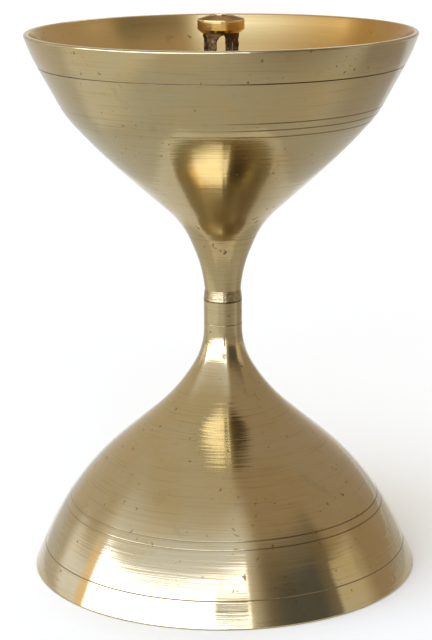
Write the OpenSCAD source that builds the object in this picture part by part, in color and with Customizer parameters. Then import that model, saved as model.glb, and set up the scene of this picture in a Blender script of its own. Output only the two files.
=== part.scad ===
// Akhand diya: a turned brass oil lamp with a bell foot, a funnel bowl and a slotted wick burner.
// The axis of the lamp is Z, and the foot stands on Z = 0.

/* [Foot] */
// Height of the foot, from the table to the seam under the bowl
foot_h = 75; // [73:0.5:85]
// Diameter of the foot where it stands
foot_d = 106.5; // [102:0.5:116]
// Width of the flat ring that the foot stands on
foot_ring_w = 3; // [2:0.25:4]
// Height of the plain band round the bottom
band_h = 6.9; // [4:0.1:9]
// Diameter at the top of the band
band_d = 100.4; // [95:0.2:104]
// Diameter at the corner between the skirt and the cone above it
shoulder_d = 83.2; // [78:0.2:90]
// Height of that corner
shoulder_z = 25; // [21:0.5:29]
// Radius that rounds that corner
shoulder_round = 78; // [30:1:90]
// Diameter at the corner between the cone and the flare
flare_d = 25.7; // [20:0.1:32]
// Height of that corner
flare_z = 49.3; // [46:0.1:53]
// Radius that rounds that corner
flare_round = 52; // [20:1:60]
// Height at which the flare would meet the neck
neck_z = 61.5; // [58:0.5:64]
// Radius that blends the flare into the neck
neck_round = 20; // [8:1:24]
// Diameter of the foot's neck
neck_d = 10.5; // [9.5:0.1:14]
// Wall of the bell, measured level
foot_wall = 4; // [3:0.25:6]
// Height of the hollow under the foot
hollow_h = 43; // [35:0.5:47]
// Radius in the top corner of the hollow
hollow_round = 6; // [2:0.5:9]

/* [Bowl] */
// Height of the bowl, from the seam to the rim
bowl_h = 73; // [70:0.5:80]
// Diameter over the rim
rim_d = 104.9; // [99:0.1:110]
// Thickness of the wall at the rim
lip_w = 1.6; // [1.2:0.1:2.4]
// Radius on both edges of the rim
lip_round = 0.6; // [0.2:0.1:0.8]
// Diameter of the collar at the seam
collar_d = 10.6; // [9.8:0.1:14]
// Height of the collar
collar_h = 3; // [2:0.1:5]
// Diameter at the top of the collar
collar_top_d = 9.9; // [9.2:0.1:12]
// Diameter at the corner where the stem starts to flare
stem_d = 11; // [10:0.1:13]
// Height of that corner above the seam
stem_rise = 9; // [7:0.5:12]
// Radius that rounds that corner
stem_round = 36; // [10:1:45]
// Diameter at the corner where the stem turns into the cone
throat_d = 21.6; // [18:0.2:26]
// Height of that corner above the seam
throat_rise = 21.5; // [19:0.5:24]
// Radius that rounds that corner
throat_round = 25; // [8:1:30]
// Diameter at the corner half way up the cone
belly_d = 66.4; // [60:0.2:72]
// Depth of that corner below the rim
belly_drop = 31.4; // [29:0.2:34]
// Radius that rounds that corner
belly_round = 165; // [40:1:190]
// Diameter at the knee between the cone and the wall
knee_d = 83.9; // [78:0.1:90]
// Depth of the knee below the rim
knee_drop = 21.4; // [18:0.2:25]
// Radius that rounds the knee
knee_round = 28; // [6:1:32]
// Diameter at the corner where the wall stands up to the rim
wall_d = 101; // [96:0.2:106]
// Depth of that corner below the rim
wall_drop = 5.4; // [4:0.1:8]
// Radius that rounds that corner
wall_round = 45; // [10:1:50]
// Wall where it stands up to the rim, measured level
upper_wall = 1.8; // [1.6:0.1:3]
// Wall at the knee and below it, measured level
bowl_wall = 2.6; // [2.2:0.1:4.5]
// Height of the bowl's floor above the seam
floor_rise = 29; // [27:0.5:32]
// Diameter of the flat floor
floor_d = 28; // [22:0.5:30]
// Radius between the floor and the wall
floor_round = 4; // [1:0.5:8]

/* [Turned lines] */
// Width of a line cut with a pointed tool
line_w = 0.3; // [0.2:0.1:0.8]
// Height of the lower of the two lines on the foot
foot_line_z = 18.4; // [14:0.1:24]
// Distance between those two lines
foot_line_step = 1.9; // [1:0.1:4]
// Depth of the line on the foot's neck below the seam
neck_line_drop = 6.4; // [2:0.1:10]
// Depth of the line below the rim
rim_line_drop = 8.5; // [4:0.1:14]
// Depth of the topmost of the three lines at the knee
knee_line_drop = 18.9; // [16:0.1:24]
// Distance between the lines at the knee
knee_line_step = 1.9; // [1:0.1:3]
// Number of lines at the knee
knee_lines = 3; // [1:1:4]

/* [Threaded studs] */
// Diameter of the stud in the neck
neck_stud_d = 6; // [4:0.5:7]
// Length of that stud in the foot, and again in the bowl
neck_grip = 8; // [6:0.5:10]
// Pitch of its thread
neck_pitch = 1; // [0.7:0.05:1.25]
// Diameter of the stud under the burner
post_stud_d = 5; // [4:0.5:6]
// Length of that stud in the bowl's floor, and again in the post
post_grip = 6; // [4:0.5:7]
// Pitch of its thread
post_pitch = 0.8; // [0.7:0.05:1]
// Depth of a thread, as a share of its pitch
thread_depth = 0.6; // [0.4:0.05:0.7]
// Width of a thread's crest, as a share of its pitch
thread_crest = 0.2; // [0.1:0.05:0.4]
// Gap all round between a stud and its hole
thread_gap = 0.05; // [0.02:0.01:0.1]
// Space left past the end of a stud
end_gap = 0.5; // [0.2:0.1:1]

/* [Burner] */
// Diameter of the slotted post
post_d = 9.6; // [9:0.1:10.2]
// Height of the post, from the bowl's floor
post_h = 44.9; // [40:0.1:50]
// Diameter of the bore that holds the wick
post_bore = 6.4; // [5.4:0.1:6.8]
// Height of the solid plug at the bottom of the post
plug_h = 9; // [8.5:0.5:12]
// Diameter of the collar that sits on the floor
post_collar_d = 13; // [11:0.5:16]
// Height of that collar
post_collar_h = 3; // [2:0.5:5]
// Width of the four slots between the legs
slot_w = 4; // [3:0.1:4.6]
// Height of the ring that joins the legs above the slots
ring_h = 1.8; // [1.5:0.1:4]
// Turn of the slots about the axis, from the front
slot_turn = 12; // [0:1:45]
// Diameter of the cap
cap_d = 12.5; // [12:0.1:15]
// Height of the cap's upright band
band_cap_h = 2.65; // [1.5:0.05:4]
// Diameter of the flat on top of the cap
cap_top_d = 6.2; // [4:0.1:8]
// Rise of the cone from the band to that flat
cap_cone_h = 0.9; // [0.3:0.05:2]
// Diameter of the cap's lower face
cap_under_d = 10.7; // [10.6:0.1:11.8]
// Height of the bevel under the band
cap_under_h = 0.85; // [0.4:0.05:1.5]
// Depth to which the post enters the cap
cap_recess = 1.3; // [0.8:0.1:1.4]
// Gap all round between the post and the cap
cap_gap = 0.05; // [0.02:0.01:0.1]
// Diameter of the hole for the wick
wick_d = 2.2; // [1.6:0.1:3]
// Diameter of the lip round that hole
wick_lip_d = 3.2; // [2.8:0.1:4]
// Height of that lip
wick_lip_h = 0.35; // [0.1:0.05:0.6]

/* [Hidden] */
$fn = 96;

// Chords in one rounded corner, and the share of a side that roundings may fill
arc_steps = 8;
side_fill = 0.98;
// Overrun of a cut past the faces that it opens
cut = 1;

rim_z = foot_h + bowl_h;
floor_z = foot_h + floor_rise;
cap_z = floor_z + post_h - cap_recess;
cap_top_z = cap_z + cap_under_h + band_cap_h + cap_cone_h;

// Outlines are lists of [radius, height, rounding], from which the rounded corners are worked out.
function xy(q) = [q[0], q[1]];
function unit(v) = v / norm(v);
function heading(p, i) = unit(xy(p[i + 1]) - xy(p[i]));
function span(p, i) = norm(xy(p[i + 1]) - xy(p[i]));
function turn(p, i) = acos(min(1, heading(p, i - 1) * heading(p, i)));
function is_end(p, i) = i == 0 || i == len(p) - 1;

// Length that the rounding at corner i takes from each of its sides
function tangent(p, i) = is_end(p, i) ? 0 : p[i][2] * tan(turn(p, i) / 2);

// Share of the roundings at both ends of side i that the side has room for
function room(p, i) =
    let (wanted = tangent(p, i) + tangent(p, i + 1))
    wanted == 0 ? 1 : min(1, side_fill * span(p, i) / wanted);

function turned(v, a) = [v[0] * cos(a) - v[1] * sin(a), v[0] * sin(a) + v[1] * cos(a)];

// Points along the rounding at corner i
function corner(p, i) =
    let (
        radius = p[i][2] * min(room(p, i - 1), room(p, i)),
        in = heading(p, i - 1),
        side = sign(cross(in, heading(p, i))),
        start = xy(p[i]) - in * radius * tan(turn(p, i) / 2),
        arm = -side * radius * [-in[1], in[0]],
        centre = start - arm
    )
    [for (k = [0 : arc_steps]) centre + turned(arm, side * turn(p, i) * k / arc_steps)];

function outline(p) = [
    for (i = [0 : len(p) - 1])
        each is_end(p, i) || p[i][2] == 0 || turn(p, i) == 0 ? [xy(p[i])] : corner(p, i)
];

// Radius of an outline at a height
function radius_at(side, z) = lookup(z, [for (q = side) [q[1], q[0]]]);

// Outside of the foot, from the table up to the seam
foot_side = outline([
    [foot_d / 2, 0, 0],
    [band_d / 2, band_h, 0],
    [shoulder_d / 2, shoulder_z, shoulder_round],
    [flare_d / 2, flare_z, flare_round],
    [neck_d / 2, neck_z, neck_round],
    [neck_d / 2, foot_h, 0],
]);

// Inside of the foot, from the axis down to the standing ring
hollow_r = radius_at(foot_side, hollow_h) - foot_wall;
foot_hollow = outline([
    [0, hollow_h, 0],
    [hollow_r, hollow_h, hollow_round],
    [shoulder_d / 2 - foot_wall, shoulder_z, shoulder_round - foot_wall],
    [band_d / 2 - foot_wall, band_h, 0],
    [foot_d / 2 - foot_ring_w, 0, 0],
]);

// Outside of the bowl, from the seam up to the rim
bowl_side = outline([
    [collar_d / 2, foot_h, 0],
    [collar_top_d / 2, foot_h + collar_h, 0],
    [stem_d / 2, foot_h + stem_rise, stem_round],
    [throat_d / 2, foot_h + throat_rise, throat_round],
    [belly_d / 2, rim_z - belly_drop, belly_round],
    [knee_d / 2, rim_z - knee_drop, knee_round],
    [wall_d / 2, rim_z - wall_drop, wall_round],
    [rim_d / 2, rim_z, lip_round],
    [rim_d / 2 - lip_w / 2, rim_z, 0],
]);

// Inside of the bowl, from the rim down to the axis
bowl_cavity = outline([
    [rim_d / 2 - lip_w / 2, rim_z, 0],
    [rim_d / 2 - lip_w, rim_z, lip_round],
    [wall_d / 2 - upper_wall, rim_z - wall_drop, wall_round],
    [knee_d / 2 - bowl_wall, rim_z - knee_drop, knee_round],
    [belly_d / 2 - bowl_wall, rim_z - belly_drop, belly_round],
    [floor_d / 2, floor_z, floor_round],
    [0, floor_z, 0],
]);

module ring_cut(side, z) {
    rotate_extrude()
        translate([radius_at(side, z), z])
            circle(d = line_w, $fn = 24);
}

module drilled_hole(d, depth) {
    cylinder(d = d, h = depth);
}

// Thread drawn as a row of V rings, one for each turn, with half a turn or more left plain at each end
module stud(d, pitch, length) {
    crest_r = d / 2 - thread_gap;
    root_r = crest_r - thread_depth * pitch;
    flank = (1 - thread_crest) / 2;
    turns = floor(length / pitch) - 1;
    lead = (length - turns * pitch) / 2;
    rotate_extrude()
        polygon(concat(
            [[0, 0], [root_r, 0]],
            [
                for (i = [0 : turns - 1])
                    each [
                        [root_r, lead + i * pitch],
                        [crest_r, lead + (i + flank) * pitch],
                        [crest_r, lead + (i + flank + thread_crest) * pitch],
                    ]
            ],
            [[root_r, length - lead], [root_r, length], [0, length]]
        ));
}

module foot() {
    color("darkkhaki")
        difference() {
            rotate_extrude()
                polygon(concat(foot_side, [[0, foot_h]], foot_hollow));
            translate([0, 0, foot_h - neck_grip - end_gap])
                drilled_hole(neck_stud_d, neck_grip + end_gap + cut);
            for (z = [band_h, foot_line_z, foot_line_z + foot_line_step, foot_h - neck_line_drop])
                ring_cut(foot_side, z);
        }
}

module neck_stud() {
    color("goldenrod")
        translate([0, 0, foot_h - neck_grip])
            stud(neck_stud_d, neck_pitch, 2 * neck_grip);
}

module bowl() {
    color("darkkhaki")
        difference() {
            rotate_extrude()
                polygon(concat(bowl_side, bowl_cavity, [[0, foot_h]]));
            translate([0, 0, foot_h - cut])
                drilled_hole(neck_stud_d, neck_grip + end_gap + cut);
            translate([0, 0, floor_z - post_grip - end_gap])
                drilled_hole(post_stud_d, post_grip + end_gap + cut);
            ring_cut(bowl_side, rim_z - rim_line_drop);
            for (i = [0 : knee_lines - 1])
                ring_cut(bowl_side, rim_z - knee_line_drop - i * knee_line_step);
        }
}

module post_stud() {
    color("goldenrod")
        translate([0, 0, floor_z - post_grip])
            stud(post_stud_d, post_pitch, 2 * post_grip);
}

// A slot with round ends that crosses the whole post
module slot() {
    bottom = plug_h + slot_w / 2;
    top = post_h - ring_h - slot_w / 2;
    rotate([90, 0, 0])
        linear_extrude(height = post_d + 2 * cut, center = true) {
            translate([-slot_w / 2, bottom])
                square([slot_w, top - bottom]);
            for (y = [bottom, top])
                translate([0, y])
                    circle(d = slot_w);
        }
}

module wick_post() {
    color("saddlebrown")
        translate([0, 0, floor_z])
            difference() {
                union() {
                    cylinder(d = post_collar_d, h = post_collar_h);
                    cylinder(d = post_d, h = post_h);
                }
                translate([0, 0, -cut])
                    drilled_hole(post_stud_d, post_grip + end_gap + cut);
                translate([0, 0, plug_h])
                    drilled_hole(post_bore, post_h);
                for (a = [0, 90])
                    rotate([0, 0, slot_turn + a])
                        slot();
            }
}

module wick_cap() {
    recess_r = post_d / 2 + cap_gap;
    band_z = cap_z + cap_under_h;
    color("gold")
        rotate_extrude()
            polygon([
                [wick_d / 2, cap_z + cap_recess],
                [recess_r, cap_z + cap_recess],
                [recess_r, cap_z],
                [cap_under_d / 2, cap_z],
                [cap_d / 2, band_z],
                [cap_d / 2, band_z + band_cap_h],
                [cap_top_d / 2, cap_top_z],
                [wick_lip_d / 2, cap_top_z],
                [wick_lip_d / 2, cap_top_z + wick_lip_h],
                [wick_d / 2, cap_top_z + wick_lip_h],
            ]);
}

foot();
neck_stud();
bowl();
post_stud();
wick_post();
wick_cap();
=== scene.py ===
"""A turned brass akhand diya: an oil lamp with a bell foot, a funnel bowl and a slotted wick burner.

The file is laid out as an add-on. Each piece of the lamp, and the stage that it stands on, has an operator,
and the sizes and colours that a user would change are properties of the scene, in metres.
The lamp's axis is Z, it stands on Z = 0, and the photograph was taken from -Y."""

import math

import bpy
from bpy.props import FloatProperty, FloatVectorProperty, IntProperty, PointerProperty
from mathutils import Euler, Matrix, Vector


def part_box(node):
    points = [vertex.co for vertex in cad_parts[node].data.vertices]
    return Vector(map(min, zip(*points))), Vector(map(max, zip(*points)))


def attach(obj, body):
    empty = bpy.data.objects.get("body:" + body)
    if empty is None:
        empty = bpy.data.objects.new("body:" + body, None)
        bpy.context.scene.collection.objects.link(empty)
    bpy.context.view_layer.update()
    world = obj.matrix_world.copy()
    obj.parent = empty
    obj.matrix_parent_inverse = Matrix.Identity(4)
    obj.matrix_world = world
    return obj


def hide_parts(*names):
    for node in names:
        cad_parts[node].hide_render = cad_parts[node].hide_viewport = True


bl_info = {
    "name": "Akhand diya",
    "version": (1, 0, 0),
    "blender": (4, 5, 0),
    "location": "3D View > Sidebar > Diya",
    "description": "Models a turned brass oil lamp around its packed CAD frame",
    "category": "Add Mesh",
}

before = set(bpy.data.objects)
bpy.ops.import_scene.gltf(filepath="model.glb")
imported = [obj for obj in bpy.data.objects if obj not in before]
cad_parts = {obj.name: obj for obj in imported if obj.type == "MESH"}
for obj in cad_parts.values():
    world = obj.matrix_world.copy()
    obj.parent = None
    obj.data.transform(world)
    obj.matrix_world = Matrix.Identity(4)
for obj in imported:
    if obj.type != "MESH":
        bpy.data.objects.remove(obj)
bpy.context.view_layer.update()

MM = 0.001

SEAM_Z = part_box("foot")[1].z
RIM_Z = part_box("bowl")[1].z
FLOOR_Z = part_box("wick_post")[0].z
CAP_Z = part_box("wick_cap")[0].z


def linear(hex_colour):
    """Linear red, green and blue of an sRGB hex colour."""
    levels = [int(hex_colour[i:i + 2], 16) / 255 for i in (1, 3, 5)]
    return tuple(c / 12.92 if c <= 0.04045 else ((c + 0.055) / 1.055) ** 2.4 for c in levels)


def length(name, millimetres, note):
    """A property that holds a length, given in millimetres."""
    return FloatProperty(
        name=name, description=note, default=millimetres * MM, min=0, unit="LENGTH", precision=5
    )


def colour(name, hex_colour, note):
    """A property that holds a colour, given as sRGB hex."""
    return FloatVectorProperty(
        name=name, description=note, default=linear(hex_colour), size=3, min=0, max=1, subtype="COLOR"
    )


class FootSizes(bpy.types.PropertyGroup):
    """Sizes of the bell foot, from the table up to the seam."""
    width: length("Width", 106.5, "Diameter where the foot stands")
    ring_width: length("Ring width", 3, "Width of the flat ring that it stands on")
    edge_round: length("Edge rounding", 0.4, "Radius on both edges of that ring")
    band_height: length("Band height", 6.9, "Height of the plain band round the bottom")
    band_width: length("Band width", 100.4, "Diameter at the top of the band")
    shoulder_width: length("Shoulder width", 83.2, "Diameter at the corner between skirt and cone")
    shoulder_height: length("Shoulder height", 25, "Height of that corner")
    shoulder_round: length("Shoulder rounding", 78, "Radius that rounds that corner")
    flare_width: length("Flare width", 25.7, "Diameter at the corner between cone and flare")
    flare_height: length("Flare height", 49.3, "Height of that corner")
    flare_round: length("Flare rounding", 52, "Radius that rounds that corner")
    neck_width: length("Neck width", 10.5, "Diameter of the neck")
    neck_height: length("Neck height", 61.5, "Height at which the flare would meet the neck")
    neck_round: length("Neck rounding", 20, "Radius that blends the flare into the neck")
    wall: length("Wall", 4, "Wall of the bell, measured level")
    hollow_height: length("Hollow height", 43, "Height of the hollow under the bell")
    hollow_round: length("Hollow rounding", 6, "Radius in the top corner of the hollow")
    line_height: length("Line height", 18.4, "Height of the lower of the two turned lines")
    line_step: length("Line step", 1.9, "Distance between those two lines")
    neck_line_drop: length("Neck line drop", 6.4, "Depth of the line on the neck below the seam")


class BowlSizes(bpy.types.PropertyGroup):
    """Sizes of the oil bowl, from the seam up to the rim."""
    rim_width: length("Rim width", 104.9, "Diameter over the rim")
    lip_width: length("Lip width", 1.6, "Thickness of the wall at the rim")
    lip_round: length("Lip rounding", 0.6, "Radius on both edges of the rim")
    collar_width: length("Collar width", 10.6, "Diameter of the collar at the seam")
    collar_height: length("Collar height", 3, "Height of the collar")
    collar_top: length("Collar top", 9.9, "Diameter at the top of the collar")
    stem_width: length("Stem width", 11, "Diameter at the corner where the stem starts to flare")
    stem_rise: length("Stem rise", 9, "Height of that corner above the seam")
    stem_round: length("Stem rounding", 36, "Radius that rounds that corner")
    throat_width: length("Throat width", 21.6, "Diameter at the corner where the stem turns into the cone")
    throat_rise: length("Throat rise", 21.5, "Height of that corner above the seam")
    throat_round: length("Throat rounding", 25, "Radius that rounds that corner")
    belly_width: length("Belly width", 66.4, "Diameter at the corner half way up the cone")
    belly_drop: length("Belly drop", 31.4, "Depth of that corner below the rim")
    belly_round: length("Belly rounding", 165, "Radius that rounds that corner")
    knee_width: length("Knee width", 83.9, "Diameter at the knee between cone and wall")
    knee_drop: length("Knee drop", 21.4, "Depth of the knee below the rim")
    knee_round: length("Knee rounding", 28, "Radius that rounds the knee")
    wall_width: length("Wall width", 101, "Diameter at the corner where the wall stands up to the rim")
    wall_drop: length("Wall drop", 5.4, "Depth of that corner below the rim")
    wall_round: length("Wall rounding", 45, "Radius that rounds that corner")
    upper_wall: length("Upper wall", 1.8, "Wall where it stands up to the rim, measured level")
    wall: length("Wall", 2.6, "Wall at the knee and below it, measured level")
    floor_width: length("Floor width", 28, "Diameter of the flat floor inside")
    floor_round: length("Floor rounding", 4, "Radius between the floor and the wall")
    rim_line_drop: length("Rim line drop", 8.5, "Depth of the line below the rim")
    knee_line_drop: length("Knee line drop", 18.9, "Depth of the topmost line at the knee")
    knee_line_step: length("Knee line step", 1.9, "Distance between the lines at the knee")
    knee_lines: IntProperty(name="Knee lines", description="Number of lines at the knee", default=3, min=1)


class StudSizes(bpy.types.PropertyGroup):
    """Sizes of the two threaded studs and of their holes."""
    neck_width: length("Neck stud width", 6, "Diameter of the stud in the neck")
    neck_grip: length("Neck grip", 8, "Length of that stud in the foot, and again in the bowl")
    neck_pitch: length("Neck pitch", 1, "Pitch of its thread")
    post_width: length("Post stud width", 5, "Diameter of the stud under the burner")
    post_grip: length("Post grip", 6, "Length of that stud in the floor, and again in the post")
    post_pitch: length("Post pitch", 0.8, "Pitch of its thread")
    gap: length("Gap", 0.05, "Gap all round between a stud and its hole")
    end_gap: length("End gap", 0.5, "Space left past the end of a stud")
    depth: FloatProperty(name="Depth", description="Depth of a thread, in pitches", default=0.6)
    crest: FloatProperty(name="Crest", description="Width of a crest, in pitches", default=0.2)


class BurnerSizes(bpy.types.PropertyGroup):
    """Sizes of the slotted post and of its cap."""
    post_width: length("Post width", 9.6, "Diameter of the slotted post")
    post_height: length("Post height", 44.9, "Height of the post from the bowl's floor")
    bore: length("Bore", 6.4, "Diameter of the bore that holds the wick")
    plug_height: length("Plug height", 9, "Height of the solid plug at the bottom of the post")
    collar_width: length("Collar width", 13, "Diameter of the collar on the floor")
    collar_height: length("Collar height", 3, "Height of that collar")
    slot_width: length("Slot width", 4, "Width of the four slots between the legs")
    ring_height: length("Ring height", 1.8, "Height of the ring that joins the legs above the slots")
    slot_turn: FloatProperty(
        name="Slot turn", description="Turn of the slots from the front", default=math.radians(12),
        subtype="ANGLE",
    )
    cap_width: length("Cap width", 12.5, "Diameter of the cap")
    band_height: length("Band height", 2.65, "Height of the cap's upright band")
    top_width: length("Top width", 6.2, "Diameter of the flat on top of the cap")
    cone_height: length("Cone height", 0.9, "Rise of the cone from the band to that flat")
    under_width: length("Under width", 10.7, "Diameter of the cap's lower face")
    under_height: length("Under height", 0.85, "Height of the bevel under the band")
    recess: length("Recess", 1.3, "Depth to which the post enters the cap")
    cap_gap: length("Cap gap", 0.05, "Gap all round between the post and the cap")
    wick_hole: length("Wick hole", 2.2, "Diameter of the hole for the wick")
    wick_lip: length("Wick lip", 3.2, "Diameter of the lip round that hole")
    lip_height: length("Lip height", 0.35, "Height of that lip")


class Finish(bpy.types.PropertyGroup):
    """Colours of the brass, and the lines that the lathe left in it."""
    brass: colour("Brass", "#B5A57F", "Satin brass of the foot, as turned")
    bowl_brass: colour("Bowl brass", "#AFA079", "Satin brass of the bowl, a little duller")
    warm: colour("Warm brass", "#B49C6B", "Brass where handling has warmed its colour")
    stain: colour("Stain", "#96835B", "Brass that has begun to tarnish")
    tarnish: colour("Tarnish", "#4E3820", "Old oil and oxide in a turned line or a pit")
    inside: colour("Inside", "#C9AE75", "Golden brass inside the bowl")
    # A browner colour that takes over inside the bowl towards the right
    browner_inside: colour("Oiled", "#AE8443", "Brass inside the bowl that old oil has browned")
    # Brown on the cone and top of the cap: a painted dark reflection
    browned: colour("Browned", "#7E6039", "Brass on top of the cap, browned by the flame")
    cast: colour("Cast brass", "#5E4226", "Dark skin of brass left as cast")
    polished: colour("Polished brass", "#EBCB84", "Brass of the cap, polished")
    line_width: length("Line width", 0.3, "Width of a line cut with a pointed tool")
    mark_step: length("Mark step", 1.3, "Distance between the broad marks of the lathe tool")
    fine_step: length("Fine step", 0.4, "Distance between its fine marks")
    pit_step: length("Pit step", 1.5, "Grain of the noise that scatters casting pits")


class Stage(bpy.types.PropertyGroup):
    """Floor and light."""
    paper: colour("Paper", "#FFFDED", "White sheet that the lamp stands on")
    # The table round the sheet is darker than the sheet: painted shade on the floor, which the brass
    # reflects
    table: colour("Table", "#E2E0D1", "Pale table top round the sheet")
    # Painted shade: the table darker still at the right
    shaded_table: colour("Dull table", "#B8AF9F", "Duller part of the table, at the right")
    room: FloatProperty(name="Room", description="Brightness of the room all round", default=0.79)
    panel: FloatProperty(name="Panel", description="Brightness of the large panel at the left", default=5.2)
    shade: FloatProperty(name="Shade", description="Brightness of the open side at the right", default=0.16)


class DiyaSettings(bpy.types.PropertyGroup):
    """All that can be set on the lamp."""
    foot: PointerProperty(type=FootSizes)
    bowl: PointerProperty(type=BowlSizes)
    studs: PointerProperty(type=StudSizes)
    burner: PointerProperty(type=BurnerSizes)
    finish: PointerProperty(type=Finish)
    stage: PointerProperty(type=Stage)


# Outlines are lists of (radius, height, rounding) corners, from which the rounded line is worked out.
ARC_STEPS = 10
SIDE_FILL = 0.98


def rounded(corners):
    """The line through the corners, as (radius, height) points, with every corner turned to its rounding."""
    points = [Vector(c[:2]) for c in corners]
    heads = [(b - a).normalized() for a, b in zip(points, points[1:])]
    spans = [(b - a).length for a, b in zip(points, points[1:])]
    inner = range(1, len(points) - 1)
    turns = {i: math.acos(min(1, heads[i - 1].dot(heads[i]))) for i in inner}
    wanted = [corners[i][2] * math.tan(turns[i] / 2) if i in turns else 0 for i in range(len(points))]
    room = []
    for i, span in enumerate(spans):
        both = wanted[i] + wanted[i + 1]
        room.append(min(1, SIDE_FILL * span / both) if both > 0 else 1)
    line = [points[0]]
    for i in inner:
        radius = corners[i][2] * min(room[i - 1], room[i])
        if radius == 0 or turns[i] == 0:
            line.append(points[i])
            continue
        head = heads[i - 1]
        side = math.copysign(1, head.x * heads[i].y - head.y * heads[i].x)
        start = points[i] - head * radius * math.tan(turns[i] / 2)
        arm = Vector((head.y, -head.x)) * side * radius
        for k in range(ARC_STEPS + 1):
            turn = side * turns[i] * k / ARC_STEPS
            cos, sin = math.cos(turn), math.sin(turn)
            line.append(start - arm + Vector((arm.x * cos - arm.y * sin, arm.x * sin + arm.y * cos)))
    return line + [points[-1]]


def radius_at(side, z):
    """Radius of a line that climbs, at a height."""
    for a, b in zip(side, side[1:]):
        if a.y <= z <= b.y and b.y > a.y:
            return a.x + (b.x - a.x) * (z - a.y) / (b.y - a.y)
    raise ValueError(f"the outline has no point at height {z}")


# Section of a line cut with a pointed tool: place across it in half widths, and share of its depth.
CUT_SECTION = ((-2, 0), (-1, 0), (-0.6, 0.6), (0, 1), (0.6, 0.6), (1, 0), (2, 0))
# Points of the outline within this many half widths make way for the cut.
CUT_CLEAR = 2.2


def scored(side, lines, width):
    """A line that climbs, with a fine groove in it for each cut line that has a depth, in half widths."""
    half = width / 2
    for z, depth, _, _ in lines:
        if depth == 0:
            continue
        middle = Vector((radius_at(side, z), z))
        below = [p for p in side if p.y < z]
        above = [p for p in side if p.y >= z]
        along = (above[0] - below[-1]).normalized()
        inward = Vector((-along.y, along.x))
        cut = [middle + (along * across + inward * deep * depth) * half for across, deep in CUT_SECTION]
        below = [p for p in below if (p - middle).length > half * CUT_CLEAR]
        above = [p for p in above if (p - middle).length > half * CUT_CLEAR]
        side = below + cut + above
    return side


# Steps round a turned piece, and round the smaller post, cap and threads.
AROUND = 256
POST_AROUND = 96
CAP_AROUND = 128
THREAD_AROUND = 48
# Edges that bend by more than this stay sharp.
CREASE = math.radians(28)
# Points closer than this are one, and slivers thinner than this are removed from a thread.
MERGE = 0.002 * MM
SLIVER = 0.004 * MM
# How near to a plane that cuts a thread a point counts as on it.
ON_PLANE = 0.0001 * MM


def deselect():
    """Nothing stays selected, neither the CAD nodes nor the last piece."""
    if bpy.context.object and bpy.context.object.mode != "OBJECT":
        bpy.ops.object.mode_set(mode="OBJECT")
    bpy.ops.object.select_all(action="DESELECT")


def drawn(name, line):
    """A new piece that is a chain of edges, drawn point by point with extrude and left in edit mode."""
    deselect()
    bpy.ops.mesh.primitive_plane_add(size=MM, location=(0, 0, 0))
    piece = bpy.context.object
    piece.name = piece.data.name = name
    bpy.ops.object.mode_set(mode="EDIT")
    bpy.ops.mesh.select_all(action="SELECT")
    bpy.ops.mesh.merge(type="CENTER")
    bpy.ops.transform.translate(value=(line[0][0], 0, line[0][1]))
    for (r0, z0), (r1, z1) in zip(line, line[1:]):
        bpy.ops.mesh.extrude_vertices_move(TRANSFORM_OT_translate={"value": (r1 - r0, 0, z1 - z0)})
    return piece


def spun(name, line, around=AROUND):
    """A turned piece: its half section is drawn, then spun round the axis."""
    piece = drawn(name, line)
    bpy.ops.mesh.select_all(action="SELECT")
    bpy.ops.mesh.spin(steps=around, angle=2 * math.pi, center=(0, 0, 0), axis=(0, 0, 1))
    bpy.ops.mesh.select_all(action="SELECT")
    bpy.ops.mesh.remove_doubles(threshold=MERGE)
    bpy.ops.mesh.normals_make_consistent(inside=False)
    bpy.ops.object.mode_set(mode="OBJECT")
    bpy.ops.object.shade_smooth_by_angle(angle=CREASE)
    mark_turning(piece, line)
    return piece


def mark_turning(piece, line):
    """Write on every vertex how far along the half section it lies, which the tool marks follow."""
    travel = {}
    total = 0
    for a, b in zip(line, line[1:]):
        travel[round(a.x / MM, 2), round(a.y / MM, 2)] = total
        total += (b - a).length
    travel[round(line[-1].x / MM, 2), round(line[-1].y / MM, 2)] = total
    layer = piece.data.attributes.new("turning", "FLOAT", "POINT")
    keys = list(travel)
    for vertex in piece.data.vertices:
        place = (round(vertex.co.xy.length / MM, 2), round(vertex.co.z / MM, 2))
        if place not in travel:
            near = min(keys, key=lambda k: (k[0] - place[0]) ** 2 + (k[1] - place[1]) ** 2)
            travel[place] = travel[near]
        layer.data[vertex.index].value = travel[place]


def bevel_edges(piece, test, offset, segments):
    """Bevel the edges of a piece whose two ends pass a test."""
    bpy.ops.object.mode_set(mode="EDIT")
    bpy.ops.mesh.select_mode(type="EDGE")
    bpy.ops.mesh.select_all(action="DESELECT")
    bpy.ops.object.mode_set(mode="OBJECT")
    for edge in piece.data.edges:
        a, b = (piece.data.vertices[i].co for i in edge.vertices)
        edge.select = test(a, b)
    bpy.ops.object.mode_set(mode="EDIT")
    bpy.ops.mesh.bevel(offset=offset, segments=segments, affect="EDGES")
    bpy.ops.mesh.select_mode(type="VERT")
    bpy.ops.object.mode_set(mode="OBJECT")


def combine(piece, tool, operation):
    """Shape a piece by a boolean with a tool, which is used up."""
    deselect()
    bpy.context.view_layer.objects.active = piece
    piece.select_set(True)
    step = piece.modifiers.new("combine", "BOOLEAN")
    step.operation = operation
    step.solver = "EXACT"
    step.object = tool
    bpy.ops.object.modifier_apply(modifier=step.name)
    bpy.data.objects.remove(tool)


def give(piece, index, test):
    """Give a material index to the faces whose centre passes a test."""
    for face in piece.data.polygons:
        if test(face.center):
            face.material_index = index


def finish_piece(piece, node, body, slot, *materials):
    """Give a piece its materials, and let it stand for its CAD node and move with its body."""
    for material in materials:
        piece.data.materials.append(material)
    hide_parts(node)
    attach(piece, body)


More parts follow.
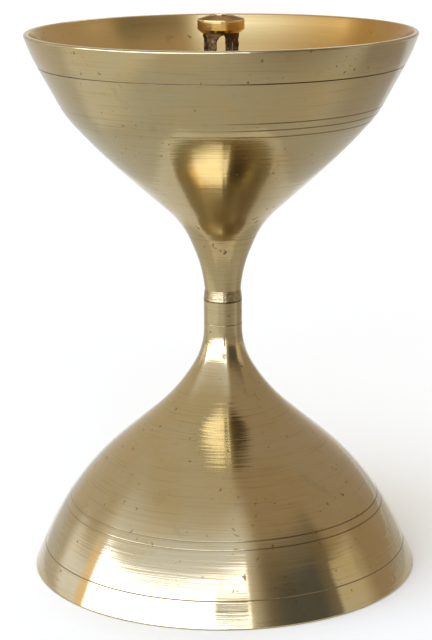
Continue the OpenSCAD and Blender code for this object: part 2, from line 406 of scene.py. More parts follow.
def add(tree, kind, inputs=None, **settings):
    """Add a node: settings are its own fields, and inputs its sockets, each a value or a socket to link."""
    node = tree.nodes.new(kind)
    for field, value in settings.items():
        setattr(node, field, value)
    for socket, value in (inputs or {}).items():
        if isinstance(value, bpy.types.NodeSocket):
            tree.links.new(value, node.inputs[socket])
        else:
            node.inputs[socket].default_value = value
    return node


def maths(tree, operation, *values):
    """The result of an operation on one to three values."""
    return add(tree, "ShaderNodeMath", dict(enumerate(values)), operation=operation).outputs[0]


def noise(tree, place, step, detail, roughness=0.5):
    """Noise whose largest grains are about one step across."""
    inputs = {"Vector": place, "Scale": 1 / step, "Detail": detail, "Roughness": roughness}
    return add(tree, "ShaderNodeTexNoise", inputs).outputs["Fac"]


def ramp(tree, value, start, end, low=0.0, high=1.0, shape="LINEAR"):
    """A value turned into a level: low up to the start, and high from the end on."""
    inputs = {0: value, 1: start, 2: end, 3: low, 4: high}
    return add(tree, "ShaderNodeMapRange", inputs, interpolation_type=shape).outputs[0]


def blend(tree, share, first, second):
    """Two colours mixed, by the share of the second."""
    inputs = {0: share}
    for socket, tint in ((6, first), (7, second)):
        inputs[socket] = tint if isinstance(tint, bpy.types.NodeSocket) else (*tint, 1)
    return add(tree, "ShaderNodeMix", inputs, data_type="RGBA").outputs[2]


def masked(tree, ramps):
    """Product of smooth ramps, each of a value from where it gives nothing to where it gives all."""
    mask = 1.0
    for value, start, end in ramps:
        low, high = (0.0, 1.0) if start < end else (1.0, 0.0)
        edge = ramp(tree, value, min(start, end), max(start, end), low, high, "SMOOTHSTEP")
        mask = maths(tree, "MULTIPLY", mask, edge)
    return mask


def new_material(name):
    """An empty material, its tree, and the place on the object that its patterns follow."""
    material = bpy.data.materials.new(name)
    material.use_nodes = True
    tree = material.node_tree
    tree.nodes.clear()
    return material, tree, add(tree, "ShaderNodeTexCoord").outputs["Object"]


def close_surface(tree, relief, depth, inputs, strength=1.0):
    """Close a material with a principled surface, which has a relief of the given depth."""
    bump = add(tree, "ShaderNodeBump", {"Strength": strength, "Distance": depth, "Height": relief})
    shader = add(tree, "ShaderNodeBsdfPrincipled", {**inputs, "Normal": bump.outputs[0]})
    add(tree, "ShaderNodeOutputMaterial", {"Surface": shader.outputs[0]})


# Depth of the tool marks, how far round the broad and the fine ones run, and the share of the fine ones.
MARK_DEPTH = 0.036 * MM
BROAD_RUN = 70 * MM
FINE_RUN = 22 * MM
FINE_SHARE = 0.4
# How far the marks wander, and over what length.
WANDER = 1.6 * MM
WANDER_STEP = 28 * MM
# Grain of the clouds of warm brass, of the stains, of the patches of pits and of the specks on a rough band.
CLOUD_STEP = 26 * MM
STAIN_STEP = 7 * MM
PATCH_STEP = 17 * MM
SPECK_STEP = 0.7 * MM
# Level of the noise at which a casting pit starts, and how much more noise makes it full.
PIT_LEVEL = 0.685
PIT_EDGE = 0.06
# Old oil shows this far on both sides of a cut line. The lines grow darker towards the right, starting and
# full at these distances, which the clouds shift by up to the last one.
OIL_REACH = 0.16 * MM
RIGHTWARD_START = 28 * MM
RIGHTWARD_FULL = 46 * MM
RIGHTWARD_SHIFT = 60 * MM


def turned_brass(name, base, second, lines, gloss, marked=1.0, rough_band=None, sides=None, edge=(1, 1, 1)):
    """Brass turned on a lathe: rings of tool marks streak the reflections along the section, stains cloud
    the colour, old oil darkens the cut lines, and the casting shows as scattered pits.
    Each line is a height and a depth with its least and most tarnish, and marked is how deep the marks are.
    The rough band, left less finished, is a lowest and a highest height. Sides are the distances to the
    right between which the second colour takes over, and edge tints what is seen at a slant."""
    finish = bpy.context.scene.diya.finish
    material, tree, place = new_material(name)
    east, north, up = add(tree, "ShaderNodeSeparateXYZ", {0: place}).outputs
    turning = add(tree, "ShaderNodeAttribute", attribute_name="turning").outputs["Fac"]

    # The marks wander a little along the section as they go round.
    drift = maths(tree, "MULTIPLY_ADD", noise(tree, place, WANDER_STEP, 1), WANDER, turning)
    marks = []
    for step, run in ((finish.mark_step, BROAD_RUN), (finish.fine_step, FINE_RUN)):
        ring = add(tree, "ShaderNodeCombineXYZ", {
            0: maths(tree, "MULTIPLY", east, 1 / run),
            1: maths(tree, "MULTIPLY", north, 1 / run),
            2: maths(tree, "MULTIPLY", drift, 1 / step),
        })
        marks.append(noise(tree, ring.outputs[0], 1, 2, 0.6))
    broad, fine = marks
    relief = maths(tree, "MULTIPLY_ADD", fine, FINE_SHARE, broad)

    # The second colour comes in clouds or from the right, and stain comes in spots and in the deeper marks.
    cloud = noise(tree, place, CLOUD_STEP, 4, 0.6)
    warmth = ramp(tree, east, *sides, shape="SMOOTHSTEP") if sides else ramp(tree, cloud, 0.42, 0.7)
    body = blend(tree, warmth, base, second)
    stained = ramp(tree, noise(tree, place, STAIN_STEP, 5, 0.65), 0.58, 0.8, 0, 0.6)
    streak = ramp(tree, fine, 0.46, 0.28, 0, 0.45 * marked)
    body = blend(tree, maths(tree, "MAXIMUM", stained, streak), body, finish.stain)

    # Old oil stays in the cut lines, and they grow darker towards the right.
    toward_right = ramp(tree, maths(tree, "MULTIPLY_ADD", cloud, RIGHTWARD_SHIFT, east), RIGHTWARD_START, RIGHTWARD_FULL)
    dirt = 0.0
    for z, _, least, most in lines:
        near = maths(tree, "COMPARE", up, z, OIL_REACH)
        held = ramp(tree, toward_right, 0, 1, least, most)
        dirt = maths(tree, "MULTIPLY_ADD", near, held, dirt)

    # Casting pits: brown, ragged and gathered in patches, and fewer where the marks are polished away.
    bare = PIT_LEVEL + PIT_EDGE * (1 - marked)
    patch = ramp(tree, noise(tree, place, PATCH_STEP, 1), 0.4, 0.7, -0.04, 0.045)
    grain = maths(tree, "ADD", noise(tree, place, finish.pit_step, 2), patch)
    dirt = maths(tree, "MAXIMUM", ramp(tree, grain, bare, bare + PIT_EDGE, 0, 0.65), dirt)

    # A band left less finished is grey with fine specks.
    if rough_band:
        low, high = rough_band
        band = maths(tree, "COMPARE", up, (low + high) / 2, (high - low) / 2)
        speck = maths(tree, "MULTIPLY", noise(tree, place, SPECK_STEP, 4), band)
        dirt = maths(tree, "MAXIMUM", ramp(tree, speck, 0.3, 0.7, 0, 0.6), dirt)
    body = blend(tree, dirt, body, finish.tarnish)

    # The fine marks vary the satin, stains and dirt dull it, and the marks stretch a reflection across them.
    satin = ramp(tree, fine, 0.3, 0.7, gloss + 0.03, gloss - 0.02)
    worn = maths(tree, "MULTIPLY_ADD", stained, 0.4, dirt)
    rough = maths(tree, "MULTIPLY_ADD", worn, 0.3, satin)
    tangent = add(tree, "ShaderNodeTangent", direction_type="RADIAL", axis="Z").outputs[0]
    close_surface(tree, relief, MARK_DEPTH * marked, {
        "Base Color": body, "Metallic": 1.0, "Roughness": rough, "Specular Tint": (*edge, 1),
        "Anisotropic": 0.75, "Anisotropic Rotation": 0.25, "Tangent": tangent,
    })
    return material


# Grain of brass cast in sand, in the hollow and on the post, and of brass drilled or cut to a thread.
HOLLOW_GRAIN = 1.2 * MM
POST_GRAIN = 0.8 * MM
DRILLED_GRAIN = 0.6 * MM
THREAD_GRAIN = 0.5 * MM


def cast_brass(name, base, grain):
    """Brass left as it came from the mould or the tool: dark, dull, and rough in grains."""
    finish = bpy.context.scene.diya.finish
    material, tree, place = new_material(name)
    sand = noise(tree, place, grain, 4, 0.7)
    tone = ramp(tree, noise(tree, place, 6 * grain, 3), 0.15, 0.68)
    body = blend(tree, tone, finish.tarnish, base)
    body = blend(tree, ramp(tree, sand, 0.55, 0.75), body, finish.stain)
    rough = ramp(tree, sand, 0.3, 0.7, 0.62, 0.38)
    close_surface(tree, sand, 0.12 * grain, {"Base Color": body, "Metallic": 1.0, "Roughness": rough})
    return material


# The sheet's half width beside the lamp, how it widens away from the camera, its front and its soft edge.
SHEET_HALF = 64 * MM
SHEET_SPREAD = 0.111
SHEET_FRONT = -71 * MM
SHEET_EDGE = 1.5 * MM
# Grain and depth of the paper's tooth.
TOOTH_STEP = 2 * MM
TOOTH_DEPTH = 0.02 * MM


def paper_floor():
    """Matt white paper with a faint tooth, on a pale table top. The table, darker than the sheet and darker
    still at the right, is painted shade on the floor that the brass reflects, and the white paper at the
    left is painted light.
    """
    stage = bpy.context.scene.diya.stage
    material, tree, place = new_material("matt_paper")
    east, north, _ = add(tree, "ShaderNodeSeparateXYZ", {0: place}).outputs
    aside = maths(tree, "ABSOLUTE", east)
    across = maths(tree, "MULTIPLY_ADD", north, -SHEET_SPREAD, aside)
    # Each part of the floor: its colour, and the ramps that bound it, in metres from the lamp's axis.
    parts = (
        # Painted shade: the table darker at the right, in front and behind
        (stage.shaded_table, ((east, -0.04, 0.16), (north, 0.02, -0.2))),
        (stage.shaded_table, ((east, 0.03, 0.3), (north, 0.45, 0.3), (north, -0.05, 0.05))),
        # Painted light: the floor whiter at the left. Then the white sheet that the lamp stands on
        (stage.paper, ((east, -0.11, -0.17), (north, 0.12, 0.05))),
        (stage.paper, (
            (across, SHEET_HALF + SHEET_EDGE, SHEET_HALF), (north, SHEET_FRONT - SHEET_EDGE, SHEET_FRONT))),
    )
    # The table round the sheet is painted shade, darker than the sheet where the brass reflects the floor
    body = stage.table
    for tint, ramps in parts:
        body = blend(tree, masked(tree, ramps), body, tint)
    tooth = noise(tree, place, TOOTH_STEP, 3)
    matt = {"Base Color": body, "Roughness": 0.9, "Specular IOR Level": 0.1}
    close_surface(tree, tooth, TOOTH_DEPTH, matt, strength=0.3)
    return material


# Chamfer where the seam and the holes break an edge, and a hair's breadth for tests of place.
EDGE_CUT = 0.2 * MM
HAIR = 0.01 * MM


class DIYA_OT_turn_foot(bpy.types.Operator):
    """Turn the bell foot, hollow underneath, with its neck and its cut lines"""
    bl_idname = "diya.turn_foot"
    bl_label = "Turn the foot"

    def execute(self, context):
        diya = context.scene.diya
        foot, studs, finish = diya.foot, diya.studs, diya.finish
        neck = foot.neck_width / 2
        side = rounded([
            (foot.width / 2, 0, 0),
            (foot.band_width / 2, foot.band_height, 0),
            (foot.shoulder_width / 2, foot.shoulder_height, foot.shoulder_round),
            (foot.flare_width / 2, foot.flare_height, foot.flare_round),
            (neck, foot.neck_height, foot.neck_round),
            (neck, SEAM_Z, 0),
        ])
        hollow = rounded([
            (0, foot.hollow_height, 0),
            (radius_at(side, foot.hollow_height) - foot.wall, foot.hollow_height, foot.hollow_round),
            (foot.shoulder_width / 2 - foot.wall, foot.shoulder_height, foot.shoulder_round - foot.wall),
            (foot.band_width / 2 - foot.wall, foot.band_height, 0),
            (foot.width / 2 - foot.ring_width, 0, foot.edge_round),
            (foot.width / 2, 0, foot.edge_round),
            (foot.band_width / 2, foot.band_height, 0),
        ])
        # Height of each line, its depth in half widths, and its least and most tarnish
        lines = [
            (foot.band_height, 0.5, 0.4, 0.6),
            (foot.line_height, 0.12, 0.3, 0.7),
            (foot.line_height + foot.line_step, 0.12, 0.3, 0.7),
            (SEAM_Z - foot.neck_line_drop, 0.5, 0.2, 0.9),
            # The seam: a painted dark line, darkest at the right as painted shade of a gap that opens there
            (SEAM_Z, 0, 0.6, 1.0),
        ]
        above_ring = [p for p in side if p.y > 2 * foot.edge_round]
        outside = scored([hollow[-2]] + above_ring, lines, finish.line_width)
        hole = studs.neck_width / 2
        bottom = SEAM_Z - studs.neck_grip - studs.end_gap
        top = [Vector(p) for p in (
            (neck, SEAM_Z - EDGE_CUT), (neck - EDGE_CUT, SEAM_Z), (hole + 2 * EDGE_CUT, SEAM_Z),
            (hole, SEAM_Z - 2 * EDGE_CUT), (hole, bottom), (0, bottom),
        )]
        piece = spun("bell_foot", hollow[:-2] + outside[:-1] + top)
        skin = foot.wall / 4
        roof = foot.hollow_height + skin
        give(piece, 1, lambda c: c.z < roof and c.xy.length < radius_at(side, max(c.z, 0)) - skin)
        give(piece, 2, lambda c: c.z > bottom - HAIR and c.xy.length < hole + HAIR)
        finish_piece(
            piece, "foot", "foot", "turned_brass",
            turned_brass("turned_brass_foot", finish.brass, finish.warm, lines, gloss=0.1),
            cast_brass("sand_cast_brass_hollow", finish.stain, HOLLOW_GRAIN),
            cast_brass("drilled_brass_foot", finish.warm, DRILLED_GRAIN),
        )
        return {"FINISHED"}


# The colour inside the bowl turns browner between these distances to the right.
BROWNER_SIDES = (6 * MM, 34 * MM)


class DIYA_OT_turn_bowl(bpy.types.Operator):
    """Turn the oil bowl with its stem, collar, rounded lip and cut lines"""
    bl_idname = "diya.turn_bowl"
    bl_label = "Turn the bowl"

    def execute(self, context):
        diya = context.scene.diya
        bowl, studs, finish = diya.bowl, diya.studs, diya.finish
        crown = bowl.rim_width / 2 - bowl.lip_width / 2
        side = rounded([
            (bowl.collar_width / 2, SEAM_Z, 0),
            (bowl.collar_top / 2, SEAM_Z + bowl.collar_height, EDGE_CUT),
            (bowl.stem_width / 2, SEAM_Z + bowl.stem_rise, bowl.stem_round),
            (bowl.throat_width / 2, SEAM_Z + bowl.throat_rise, bowl.throat_round),
            (bowl.belly_width / 2, RIM_Z - bowl.belly_drop, bowl.belly_round),
            (bowl.knee_width / 2, RIM_Z - bowl.knee_drop, bowl.knee_round),
            (bowl.wall_width / 2, RIM_Z - bowl.wall_drop, bowl.wall_round),
            (bowl.rim_width / 2, RIM_Z, bowl.lip_round),
            (crown, RIM_Z, 0),
        ])
        cavity = rounded([
            (crown, RIM_Z, 0),
            (bowl.rim_width / 2 - bowl.lip_width, RIM_Z, bowl.lip_round),
            (bowl.wall_width / 2 - bowl.upper_wall, RIM_Z - bowl.wall_drop, bowl.wall_round),
            (bowl.knee_width / 2 - bowl.wall, RIM_Z - bowl.knee_drop, bowl.knee_round),
            (bowl.belly_width / 2 - bowl.wall, RIM_Z - bowl.belly_drop, bowl.belly_round),
            (bowl.floor_width / 2, FLOOR_Z, bowl.floor_round),
            (studs.post_width / 2, FLOOR_Z, 0),
        ])
        # Height of each line, its depth in half widths, and its least and most tarnish
        lines = [
            (RIM_Z - bowl.rim_line_drop, 0.6, 0.8, 0.95),
            (SEAM_Z + bowl.stem_rise * 2, 0, 0.15, 0.2),
            (SEAM_Z + 0.75 * bowl.collar_height, 0, 0.4, 0.6),
            # The seam: a painted dark line, darkest at the right as painted shade of a gap that opens there
            (SEAM_Z, 0, 0.6, 1.0),
        ]
        for i in range(bowl.knee_lines):
            lines.append((RIM_Z - bowl.knee_line_drop - i * bowl.knee_line_step, 0.12, 0.12, 0.7))
        neck_hole, collar = studs.neck_width / 2, bowl.collar_width / 2
        roof = SEAM_Z + studs.neck_grip + studs.end_gap
        under = [Vector(p) for p in (
            (0, roof), (neck_hole, roof), (neck_hole, SEAM_Z + 2 * EDGE_CUT),
            (neck_hole + 2 * EDGE_CUT, SEAM_Z), (collar - EDGE_CUT, SEAM_Z), (collar, SEAM_Z + EDGE_CUT),
        )]
        post_hole = studs.post_width / 2
        bottom = FLOOR_Z - studs.post_grip - studs.end_gap
        sunk = [Vector(p) for p in (
            (post_hole + EDGE_CUT, FLOOR_Z), (post_hole, FLOOR_Z - EDGE_CUT),
            (post_hole, bottom), (0, bottom),
        )]
        outside = scored(side[1:], lines, finish.line_width)
        piece = spun("oil_bowl", under + outside[:-1] + cavity[:-1] + sunk)
        sill = FLOOR_Z - EDGE_CUT / 2
        skin = bowl.lip_width / 3

        def inside(c):
            return c.z > sill and c.xy.length < min(crown, radius_at(side, min(c.z, RIM_Z)) - skin)

        give(piece, 1, inside)
        give(piece, 2, lambda c: c.z < sill and c.xy.length < neck_hole + HAIR)
        collar_band = (SEAM_Z, SEAM_Z + bowl.collar_height)
        finish_piece(
            piece, "bowl", "bowl", "turned_brass",
            turned_brass(
                "turned_brass_bowl", finish.bowl_brass, finish.warm, lines,
                gloss=0.1, rough_band=collar_band,
            ),
            turned_brass(
                "turned_brass_inside", finish.inside, finish.browner_inside, [],
                gloss=0.2, marked=0.4, sides=BROWNER_SIDES,
            ),
            cast_brass("drilled_brass_bowl", finish.warm, DRILLED_GRAIN),
        )
        return {"FINISHED"}


# A thread is swept this many turns past its stud. The bar that it is turned down from stands proud of
# the thread, and its ends are chamfered, by these shares of the pitch.
SPARE_TURNS = 4
BAR_PROUD = 0.2
BAR_CHAMFER = 0.9


class DIYA_OT_cut_studs(bpy.types.Operator):
    """Cut the threads of the stud in the neck and of the stud under the burner"""
    bl_idname = "diya.cut_studs"
    bl_label = "Cut the studs"

    def execute(self, context):
        studs = context.scene.diya.studs
        self.cut("neck_screw", "neck_stud", studs.neck_width, studs.neck_pitch, SEAM_Z, studs.neck_grip)
        self.cut("burner_screw", "post_stud", studs.post_width, studs.post_pitch, FLOOR_Z, studs.post_grip)
        return {"FINISHED"}

    def cut(self, name, node, width, pitch, middle, grip):
        """A helix swept by a Screw modifier, cut off level and turned down to a chamfer at both ends."""
        diya = bpy.context.scene.diya
        studs = diya.studs
        crest = width / 2 - studs.gap
        root = crest - studs.depth * pitch
        flank = (1 - studs.crest) / 2 * pitch
        low = middle - grip
        start = low - SPARE_TURNS / 2 * pitch
        piece = drawn(name, (
            (root, start), (crest, start + flank), (crest, start + pitch - flank), (root, start + pitch)
        ))
        bpy.ops.object.mode_set(mode="OBJECT")
        helix = piece.modifiers.new("helix", "SCREW")
        helix.axis = "Z"
        helix.angle = 2 * math.pi
        helix.screw_offset = pitch
        helix.iterations = math.ceil(2 * grip / pitch) + SPARE_TURNS
        helix.steps = helix.render_steps = THREAD_AROUND
        helix.use_merge_vertices = True
        helix.merge_threshold = MERGE
        bpy.ops.object.modifier_apply(modifier=helix.name)
        bpy.ops.object.mode_set(mode="EDIT")
        bpy.ops.mesh.select_all(action="SELECT")
        bpy.ops.mesh.remove_doubles(threshold=MERGE)
        for z, way in ((low, -1), (low + 2 * grip, 1)):
            bpy.ops.mesh.select_all(action="SELECT")
            bpy.ops.mesh.bisect(
                plane_co=(0, 0, z), plane_no=(0, 0, way), use_fill=True, clear_outer=True, threshold=ON_PLANE
            )
        bpy.ops.mesh.select_all(action="SELECT")
        bpy.ops.mesh.normals_make_consistent(inside=False)
        deselect()
        bpy.ops.mesh.primitive_cylinder_add(
            vertices=2 * THREAD_AROUND, radius=crest + BAR_PROUD * pitch, depth=2 * grip,
            location=(0, 0, middle),
        )
        bar = bpy.context.object
        bpy.ops.object.transform_apply(location=True, rotation=True, scale=True)
        bevel_edges(bar, lambda a, b: abs(a.z - b.z) < grip, BAR_CHAMFER * pitch, 1)
        combine(piece, bar, "INTERSECT")
        bpy.ops.object.mode_set(mode="EDIT")
        bpy.ops.mesh.select_all(action="SELECT")
        bpy.ops.mesh.remove_doubles(threshold=SLIVER)
        bpy.ops.mesh.quads_convert_to_tris(quad_method="BEAUTY", ngon_method="BEAUTY")
        bpy.ops.mesh.dissolve_degenerate(threshold=SLIVER)
        bpy.ops.object.mode_set(mode="OBJECT")
        bpy.ops.object.shade_smooth_by_angle(angle=CREASE)
        material = cast_brass(name + "_cut_brass", diya.finish.polished, THREAD_GRAIN)
        finish_piece(piece, node, node, "threaded_brass", material)


# Rounding on the post's collar, and the share of a slot's width and the steps that round its ends.
COLLAR_EDGE = 0.3 * MM
SLOT_ROUND = 0.49
SLOT_STEPS = 8
# Voxels of the post's skin, and the grain and relief that the sand left in it.
SKIN_VOXEL = 0.25 * MM
SKIN_GRAIN = 1.4 * MM
SKIN_RELIEF = 0.5 * MM


class DIYA_OT_cast_post(bpy.types.Operator):
    """Cast the slotted post: a tube on a collar, with four legs between its slots and a sand-rough skin"""
    bl_idname = "diya.cast_post"
    bl_label = "Cast the post"

    def execute(self, context):
        diya = context.scene.diya
        burner, studs = diya.burner, diya.studs
        post, bore, hole = burner.post_width / 2, burner.bore / 2, studs.post_width / 2
        roof = FLOOR_Z + studs.post_grip + studs.end_gap
        shelf = FLOOR_Z + burner.collar_height
        plug = FLOOR_Z + burner.plug_height
        top = FLOOR_Z + burner.post_height
        piece = spun("slotted_post", rounded([
            (0, roof, 0),
            (hole, roof, 0),
            (hole, FLOOR_Z, 0),
            (burner.collar_width / 2, FLOOR_Z, 0),
            (burner.collar_width / 2, shelf, COLLAR_EDGE),
            (post, shelf, 2 * COLLAR_EDGE),
            (post, top, 0),
            (bore, top, 0),
            (bore, plug, 0),
            (0, plug, 0),
        ]), POST_AROUND)
        ring = top - burner.ring_height
        for turn in (0, math.pi / 2):
            combine(piece, self.slot(burner, plug, ring, turn), "DIFFERENCE")
        self.roughen(piece, shelf + 2 * SKIN_RELIEF, ring - SKIN_RELIEF)
        material = cast_brass("sand_cast_brass_post", diya.finish.cast, POST_GRAIN)
        finish_piece(piece, "wick_post", "wick_post", "cast_brass", material)
        return {"FINISHED"}

    def slot(self, burner, low, high, turn):
        """A bar with rounded edges that cuts two slots across the post."""
        deselect()
        bpy.ops.mesh.primitive_cube_add(size=1, location=(0, 0, 0))
        bar = bpy.context.object
        bpy.ops.object.mode_set(mode="EDIT")
        bpy.ops.mesh.select_all(action="SELECT")
        bpy.ops.transform.resize(value=(burner.slot_width, 2 * burner.collar_width, high - low))
        bpy.ops.object.mode_set(mode="OBJECT")
        reach = burner.collar_width
        bevel_edges(bar, lambda a, b: abs(a.y - b.y) > reach, SLOT_ROUND * burner.slot_width, SLOT_STEPS)
        bar.rotation_euler.z = burner.slot_turn + turn
        bar.location.z = (low + high) / 2
        bpy.ops.object.transform_apply(location=True, rotation=True, scale=True)
        return bar

    def roughen(self, piece, low, high):
        """Remesh the post and displace its skin between two heights, which leaves its fits true."""
        skin = piece.modifiers.new("skin", "REMESH")
        skin.mode = "VOXEL"
        skin.voxel_size = SKIN_VOXEL
        skin.use_smooth_shade = True
        bpy.ops.object.modifier_apply(modifier=skin.name)
        free = piece.vertex_groups.new(name="rough")
        free.add([v.index for v in piece.data.vertices if low < v.co.z < high], 1.0, "REPLACE")
        sand = bpy.data.textures.new("casting_skin", "CLOUDS")
        sand.noise_scale = SKIN_GRAIN
        rough = piece.modifiers.new("rough", "DISPLACE")
        rough.texture = sand
        rough.texture_coords = "LOCAL"
        rough.vertex_group = free.name
        rough.strength = SKIN_RELIEF
        bpy.ops.object.modifier_apply(modifier=rough.name)
        bpy.data.textures.remove(sand)
        piece.vertex_groups.clear()


# Least rounding on the cap's edges, and the brown tint that its cone shows at a slant, part of a painted
# dark reflection.
CAP_EDGE = 0.12 * MM
BROWN_EDGE = (0.7, 0.55, 0.5)


class DIYA_OT_turn_cap(bpy.types.Operator):
    """Turn the cap of the burner, with its recess, its bevels and the lip round the wick hole"""
    bl_idname = "diya.turn_cap"
    bl_label = "Turn the cap"

    def execute(self, context):
        diya = context.scene.diya
        burner, finish = diya.burner, diya.finish
        recess = burner.post_width / 2 + burner.cap_gap
        band = CAP_Z + burner.under_height
        shoulder = band + burner.band_height
        flat = shoulder + burner.cone_height
        hole, lip = burner.wick_hole / 2, burner.wick_lip / 2
        piece = spun("burner_cap", rounded([
            (hole, CAP_Z + 2 * burner.recess, 0),
            (hole, CAP_Z + burner.recess, CAP_EDGE),
            (recess, CAP_Z + burner.recess, 0),
            (recess, CAP_Z, CAP_EDGE),
            (burner.under_width / 2, CAP_Z, CAP_EDGE),
            (burner.cap_width / 2, band, 2 * CAP_EDGE),
            (burner.cap_width / 2, shoulder, 2 * CAP_EDGE),
            (burner.top_width / 2, flat, 4 * CAP_EDGE),
            (lip, flat, CAP_EDGE),
            (lip, flat + burner.lip_height, CAP_EDGE),
            (hole, flat + burner.lip_height, CAP_EDGE),
            (hole, CAP_Z + 2 * burner.recess, 0),
        ]), CAP_AROUND)
        give(piece, 1, lambda c: c.z > shoulder and c.xy.length > lip)
        finish_piece(
            piece, "wick_cap", "wick_cap", "polished_brass",
            turned_brass("polished_brass_cap", finish.polished, finish.warm, [], gloss=0.09, marked=0.4),
            # The cone and top are painted brown: a painted dark reflection of dim surroundings behind the
            # lamp
            turned_brass(
                "brass_cap_painted_reflection", finish.browned, finish.browned, [],
                gloss=0.2, marked=0.4, edge=BROWN_EDGE,
            ),
        )
        return {"FINISHED"}


# The camera stands where the ellipses of the rim and foot in the photograph put it.
CAMERA_PLACE = (-0.00191, -0.51734, 0.1975)
CAMERA_PITCH = math.radians(76.056)
CAMERA_ROLL = math.radians(-0.44)
CAMERA_LENS = 109.27
CAMERA_NEAR = 0.01
SENSOR = 36
# The floor is a disc of this radius and this many sides, with a border that is this many times wider.
FLOOR_RADIUS = 0.5
FLOOR_SIDES = 96
FLOOR_SPREAD = 24
# The top edge of the panel climbs to the right, this far for each unit of bearing.
PANEL_CLIMB = 0.165
# The bright patch behind the lamp stands at this bearing.
REAR_BEARING = math.radians(172)


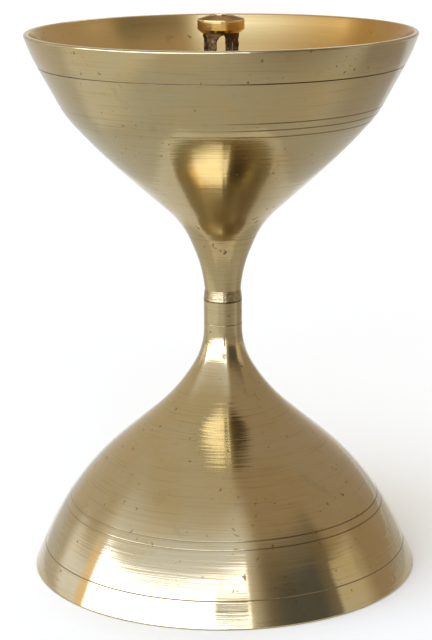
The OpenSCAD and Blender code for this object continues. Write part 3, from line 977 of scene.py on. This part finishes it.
class DIYA_OT_set_stage(bpy.types.Operator):
    """Lay the paper floor, light the room and stand the camera where the photograph was taken"""
    bl_idname = "diya.set_stage"
    bl_label = "Set the stage"

    def execute(self, context):
        self.lay_floor()
        self.light_room(context.scene)
        self.stand_camera(context.scene)
        context.scene.view_settings.view_transform = "Standard"
        return {"FINISHED"}

    def lay_floor(self):
        """A flat disc that reaches past the edges of the picture."""
        deselect()
        bpy.ops.mesh.primitive_circle_add(
            vertices=FLOOR_SIDES, radius=FLOOR_RADIUS, fill_type="NGON", location=(0, 0, 0)
        )
        floor = bpy.context.object
        floor.name = floor.data.name = "paper_floor"
        bpy.ops.object.mode_set(mode="EDIT")
        bpy.ops.mesh.select_all(action="SELECT")
        bpy.ops.mesh.extrude_edges_move(TRANSFORM_OT_translate={"value": (0, 0, 0)})
        bpy.ops.transform.resize(value=(FLOOR_SPREAD, FLOOR_SPREAD, FLOOR_SPREAD))
        bpy.ops.object.mode_set(mode="OBJECT")
        floor.data.materials.append(paper_floor())

    def light_room(self, scene):
        """A soft room: a long panel at the left and front, a dark side at the right, and pale walls."""
        stage = scene.diya.stage
        world = bpy.data.worlds.new("soft_room")
        world.use_nodes = True
        tree = world.node_tree
        tree.nodes.clear()
        scene.world = world
        ray = add(tree, "ShaderNodeTexCoord").outputs["Generated"]
        east, north, up = add(tree, "ShaderNodeSeparateXYZ", {0: ray}).outputs
        aim = maths(tree, "ARCTAN2", east, maths(tree, "MULTIPLY", north, -1.0))
        eastward = maths(tree, "SINE", aim)
        southward = maths(tree, "COSINE", aim)
        aside = maths(tree, "MULTIPLY", eastward, math.sin(REAR_BEARING))
        rear = maths(tree, "MULTIPLY_ADD", southward, math.cos(REAR_BEARING), aside)
        # Degrees to the right of the camera's side, degrees above the floor, and those above a climbing line
        bearing = maths(tree, "DEGREES", aim)
        rise = maths(tree, "DEGREES", maths(tree, "ARCSINE", up))
        climb = maths(tree, "MULTIPLY_ADD", bearing, -PANEL_CLIMB, rise)

        # Each patch of the room: its colour and level, and the ramps that bound it.
        white = (0.95, 1.0, 1.05)
        daylight = (0.96, 1.08, 1.55)
        room, panel = stage.room, stage.panel
        left, right, bottom = (bearing, -93, -89), (bearing, 16, 14.5), (rise, -1, 2)
        patches = (
            # The right half of the room, warmer and duller
            ((0.7, 0.59, 0.5), room, ((eastward, 0.14, 0.6),)),
            # The wall above the panel, which the panel lights
            ((1.44, 1.57, 1.9), room, ((bearing, -112, -92), (bearing, 31, 12), (climb, 66, 42))),
            # A pale band along the left horizon
            ((1.75, 1.85, 2.2), room, ((bearing, -130, -116), (bearing, -94, -100), (rise, 19, 8))),
            # A warm edge beside the panel
            ((1.95, 1.6, 1.2), room, ((bearing, -101, -98), (bearing, -89, -91), (rise, 24, 16))),
            # The open side at the front right, dim above and dark below
            ((0.38, 0.34, 0.29), room, (
                (bearing, 13, 34), (bearing, 84, 74), (rise, 5, 11), (rise, 49, 35))),
            (white, stage.shade, ((bearing, 22, 42), (bearing, 72, 60), (rise, 5, 11), (rise, 33, 26))),
            # A pale strip beside it
            ((1.15, 1.1, 1.0), room, ((bearing, 72, 75), (bearing, 106, 88), (rise, 26, 21))),
            # The panel, its brighter lower half, its warmer lower left, and two gaps in it
            (daylight, 0.85 * panel, (left, right, bottom, (climb, 37.5, 31))),
            ((0.9, 1.08, 1.6), 1.15 * panel, (left, right, bottom, (rise, 26, 18))),
            ((1.0, 0.84, 0.62), 0.65 * panel, (left, (bearing, -60, -72), bottom, (rise, 8, 5))),
            (white, 0.07 * panel, ((bearing, -8, -5), (bearing, 15, 14), (rise, 18, 22), (rise, 28.5, 26))),
            (white, room, ((bearing, -1, 4), (bearing, 14, 13), (rise, 14, 10))),
            # A bright patch behind the lamp
            (daylight, 0.4 * panel, ((rear, 0.82, 0.88), (rise, 36.5, 38.5), (rise, 54, 48))),
        )
        glow = [room * c for c in (1.0, 0.94, 0.84)]
        for tint, level, ramps in patches:
            glow = blend(tree, masked(tree, ramps), glow, [level * c for c in tint])
        light = add(tree, "ShaderNodeBackground", {"Color": glow, "Strength": 1.0})
        add(tree, "ShaderNodeOutputWorld", {"Surface": light.outputs[0]})

    def stand_camera(self, scene):
        """The camera, pitched and rolled as the photograph shows."""
        data = bpy.data.cameras.new("camera")
        data.sensor_width = SENSOR
        data.lens = CAMERA_LENS
        data.clip_start = CAMERA_NEAR
        camera = bpy.data.objects.new("camera", data)
        camera.location = CAMERA_PLACE
        look = Euler((CAMERA_PITCH, 0, 0)).to_matrix() @ Euler((0, 0, CAMERA_ROLL)).to_matrix()
        camera.rotation_euler = look.to_euler()
        scene.collection.objects.link(camera)
        scene.camera = camera


OPERATORS = (
    DIYA_OT_turn_foot,
    DIYA_OT_turn_bowl,
    DIYA_OT_cut_studs,
    DIYA_OT_cast_post,
    DIYA_OT_turn_cap,
    DIYA_OT_set_stage,
)


class DIYA_PT_lamp(bpy.types.Panel):
    """Lists the lamp's pieces and the sizes and colours that can be set."""
    bl_idname = "DIYA_PT_lamp"
    bl_label = "Akhand diya"
    bl_space_type = "VIEW_3D"
    bl_region_type = "UI"
    bl_category = "Diya"

    def draw(self, context):
        for step in OPERATORS:
            self.layout.operator(step.bl_idname)
        for group in DiyaSettings.__annotations__:
            settings = getattr(context.scene.diya, group)
            box = self.layout.box()
            box.label(text=group.capitalize())
            for field in settings.__annotations__:
                box.prop(settings, field)


GROUPS = (FootSizes, BowlSizes, StudSizes, BurnerSizes, Finish, Stage, DiyaSettings)
CLASSES = (*GROUPS, *OPERATORS, DIYA_PT_lamp)


def register():
    for cls in CLASSES:
        bpy.utils.register_class(cls)
    bpy.types.Scene.diya = PointerProperty(type=DiyaSettings)


def unregister():
    del bpy.types.Scene.diya
    for cls in reversed(CLASSES):
        bpy.utils.unregister_class(cls)


def main():
    register()
    bpy.ops.diya.turn_foot()
    bpy.ops.diya.turn_bowl()
    bpy.ops.diya.cut_studs()
    bpy.ops.diya.cast_post()
    bpy.ops.diya.turn_cap()
    bpy.ops.diya.set_stage()


if __name__ == "__main__":
    main()
